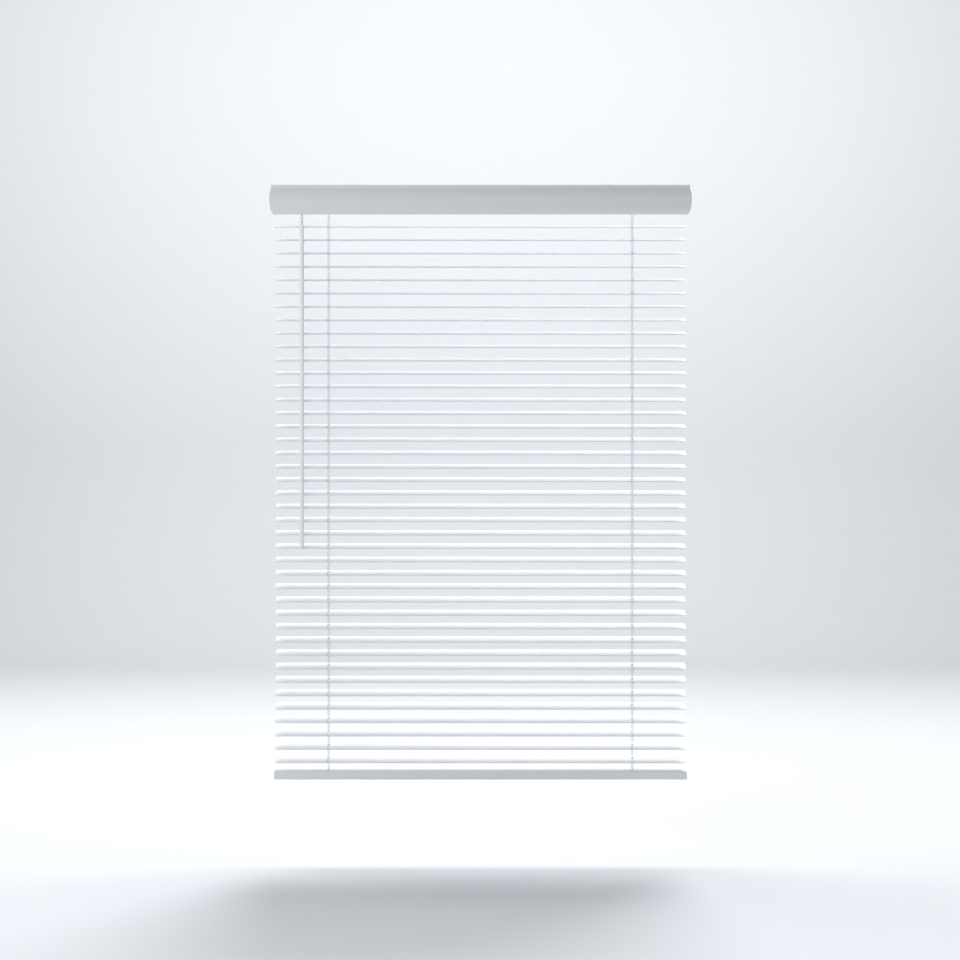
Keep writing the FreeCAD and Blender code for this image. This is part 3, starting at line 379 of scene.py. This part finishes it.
def make_rungs():
    """Two threads at each ladder hold each slat: one over it and one under it."""
    rail_low, rail_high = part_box("bottom_rail")
    slat_half = (rail_high.y - rail_low.y) / 2
    ladder_x = ladder_place()
    over = thread(thread_points(1, slat_half))
    under = thread(thread_points(-1, slat_half))
    threads = []
    for x in (-ladder_x, ladder_x):
        threads.append(copy_piece(over, Matrix.Translation((x - THREAD_GAP / 2, 0, 0))))
        threads.append(copy_piece(under, Matrix.Translation((x + THREAD_GAP / 2, 0, 0))))
    master = joined_pieces(threads)
    smooth(master, 60)
    rest_tilt = Matrix.Rotation(REST_TILT, 4, "X")
    for name in slat_names:
        axis = Vector(joints[f"{name}_tilt"]["pos_m"])
        rungs = copy_piece(master, Matrix.Translation(axis) @ rest_tilt)
        settle(rungs, name.replace("slat", "rungs"), "ladder", name)
    for spare in (over, under, master):
        bpy.data.objects.remove(spare)


# Bottom rail


def make_rail_caps():
    """A moulded cap closes each end of the rail, with rounded edges and a shallow dished face."""
    low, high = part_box("bottom_rail")
    middle = (low + high) / 2
    depth, height = high.y - low.y, high.z - low.z
    cap = start_piece(bpy.ops.mesh.primitive_cube_add, size=1,
                      location=(high.x + CAP_THICKNESS / 2, middle.y, middle.z))
    apply_size(cap, (CAP_THICKNESS, depth + CAP_OVERLAP, height + CAP_OVERLAP))
    corners = cap.modifiers.new("Corners", "BEVEL")
    corners.width = CAP_CORNER
    corners.segments = 6
    corners.limit_method = "WEIGHT"
    weights = cap.data.attributes.new("bevel_weight_edge", "FLOAT", "EDGE")
    for edge in cap.data.edges:
        a, b = (cap.data.vertices[i].co for i in edge.vertices)
        weights.data[edge.index].value = 1.0 if abs(a.x - b.x) > CAP_THICKNESS / 2 else 0.0
    bpy.ops.object.modifier_apply(modifier="Corners")
    select_faces(cap, lambda centre, normal: normal.x > 0.9)
    bpy.ops.mesh.inset(thickness=CAP_RIM)
    bpy.ops.mesh.inset(thickness=CAP_DISH_SLOPE, depth=-CAP_DISH_DEPTH)
    bpy.ops.object.mode_set(mode="OBJECT")
    apply_bevel(cap, CAP_EDGE, 2, 0.7)
    smooth(cap)
    left = copy_piece(cap, Matrix.Identity(4))
    settle(cap, "right_rail_cap", "rail", "bottom_rail")
    left.data.transform(left.matrix_world)
    left.matrix_world = Matrix.Identity(4)
    left.data.transform(Matrix.Rotation(math.pi, 4, "Z"))
    settle(left, "left_rail_cap", "rail", "bottom_rail")


def make_rail_plugs():
    """A round button under the rail at each ladder holds the cords' knots."""
    low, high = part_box("bottom_rail")
    ladder_x = ladder_place()
    plug = start_piece(bpy.ops.mesh.primitive_cylinder_add, vertices=40,
                       radius=PLUG_RADIUS, depth=PLUG_HEIGHT,
                       location=(ladder_x, 0, low.z - PLUG_HEIGHT / 2))
    bpy.ops.object.transform_apply(location=True, rotation=False, scale=False)
    select_faces(plug, lambda centre, normal: normal.z < -0.9)
    bpy.ops.mesh.inset(thickness=PLUG_RIM)
    bpy.ops.mesh.inset(thickness=PLUG_DISH, depth=-PLUG_DISH)
    bpy.ops.object.mode_set(mode="OBJECT")
    apply_bevel(plug, PLUG_EDGE, 2)
    smooth(plug)
    twin = copy_piece(plug, Matrix.Translation((-2 * ladder_x, 0, 0)))
    settle(plug, "right_rail_plug", "cradle", "bottom_rail")
    settle(twin, "left_rail_plug", "cradle", "bottom_rail")


def make_rail_eyelets():
    """Small moulded eyelets line the holes in the rail's top."""
    low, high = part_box("bottom_rail")
    ladder_x = ladder_place()
    eyelet = start_piece(bpy.ops.mesh.primitive_torus_add, major_segments=24, minor_segments=8,
                         major_radius=EYELET_RADIUS, minor_radius=EYELET_WIRE, location=(0, 0, high.z))
    bpy.ops.object.transform_apply(location=True, rotation=False, scale=False)
    smooth(eyelet)
    count = 0
    for x in (-ladder_x, ladder_x):
        for y in (-EYELET_SPREAD, 0, EYELET_SPREAD):
            count += 1
            twin = copy_piece(eyelet, Matrix.Translation((x, y, 0)))
            settle(twin, f"rail_eyelet_{count}", "cradle", "bottom_rail")
    bpy.data.objects.remove(eyelet)


# Studio


def make_studio():
    """A pale floor that sweeps up into a pale wall behind."""
    material, tree, shader, place = new_material("pale_studio_paint", Roughness=0.85, Specular_IOR_Level=0.2)
    shader.inputs["Base Color"].default_value = linear("#CDD0D3")
    floor_z = cad_box[0][2] - FLOOR_DROP
    floor = start_piece(bpy.ops.mesh.primitive_plane_add, size=1, location=(0, 0, floor_z))
    apply_size(floor, (FLOOR_WIDTH, FLOOR_DEPTH, 1))
    bpy.ops.object.transform_apply(location=True, rotation=False, scale=False)
    bpy.ops.object.mode_set(mode="EDIT")
    bpy.ops.mesh.select_mode(type="EDGE")
    bpy.ops.mesh.select_all(action="DESELECT")
    bpy.ops.object.mode_set(mode="OBJECT")
    for edge in floor.data.edges:
        edge.select = all(floor.data.vertices[i].co.y > 0 for i in edge.vertices)
    bpy.ops.object.mode_set(mode="EDIT")
    turn = math.pi / 2 / SWEEP_STEPS
    stride = SWEEP_RADIUS * turn
    for step in range(SWEEP_STEPS):
        angle = turn * (step + 0.5)
        move = (0, stride * math.cos(angle), stride * math.sin(angle))
        bpy.ops.mesh.extrude_region_move(TRANSFORM_OT_translate={"value": move})
    bpy.ops.mesh.extrude_region_move(TRANSFORM_OT_translate={"value": (0, 0, WALL_HEIGHT)})
    bpy.ops.object.mode_set(mode="OBJECT")
    smooth(floor, 30)
    floor.name = "studio_floor"
    floor.data.materials.append(material)


def add_light(name, kind, spot, target, power, colour="#FFFFFF", **settings):
    """A light that the camera doesn't see, turned to face its target."""
    lamp = bpy.data.lights.new(name, kind)
    lamp.energy = power
    lamp.color = linear(colour)[:3]
    for setting, value in settings.items():
        setattr(lamp, setting, value)
    holder = bpy.data.objects.new(name, lamp)
    bpy.context.scene.collection.objects.link(holder)
    holder.location = spot
    holder.rotation_euler = (Vector(target) - Vector(spot)).to_track_quat("-Z", "Y").to_euler()
    holder.visible_camera = False


def make_lights():
    """Soft daylight from above the window side, a wash on the wall, and a dimmer room in front."""
    add_light("window_daylight", "SUN", (0.9, 2.6, 3.0), BLIND_MIDDLE, 2.15, "#FAFCFF",
              angle=math.radians(34))
    add_light("wall_wash", "AREA", (0, 0.9, 3.3), (0, 5.8, -0.4), 440,
              shape="RECTANGLE", size=9, size_y=2.2)
    add_light("room_fill", "AREA", (-2.4, -3.4, 0.3), BLIND_MIDDLE, 48,
              shape="RECTANGLE", size=1.8, size_y=2.2)
    world = bpy.data.worlds.new("soft_daylight")
    world.use_nodes = True
    sky = world.node_tree.nodes["Background"]
    sky.inputs["Color"].default_value = linear("#F8F9FC")
    sky.inputs["Strength"].default_value = 0.42
    bpy.context.scene.world = world
    bpy.context.scene.view_settings.view_transform = "Standard"


def make_camera():
    """Level, square to the blind, half-way down it, from across a room."""
    lens = bpy.data.cameras.new("room_camera")
    lens.lens = 50
    lens.sensor_width = 36
    lens.clip_end = 60
    camera = bpy.data.objects.new("room_camera", lens)
    bpy.context.scene.collection.objects.link(camera)
    camera.location = CAMERA_SPOT
    camera.rotation_euler = (math.radians(90), 0, 0)
    bpy.context.scene.camera = camera


finish_cad_nodes()
make_rungs()
make_rail_caps()
make_rail_plugs()
make_rail_eyelets()
make_studio()
make_lights()
make_camera()
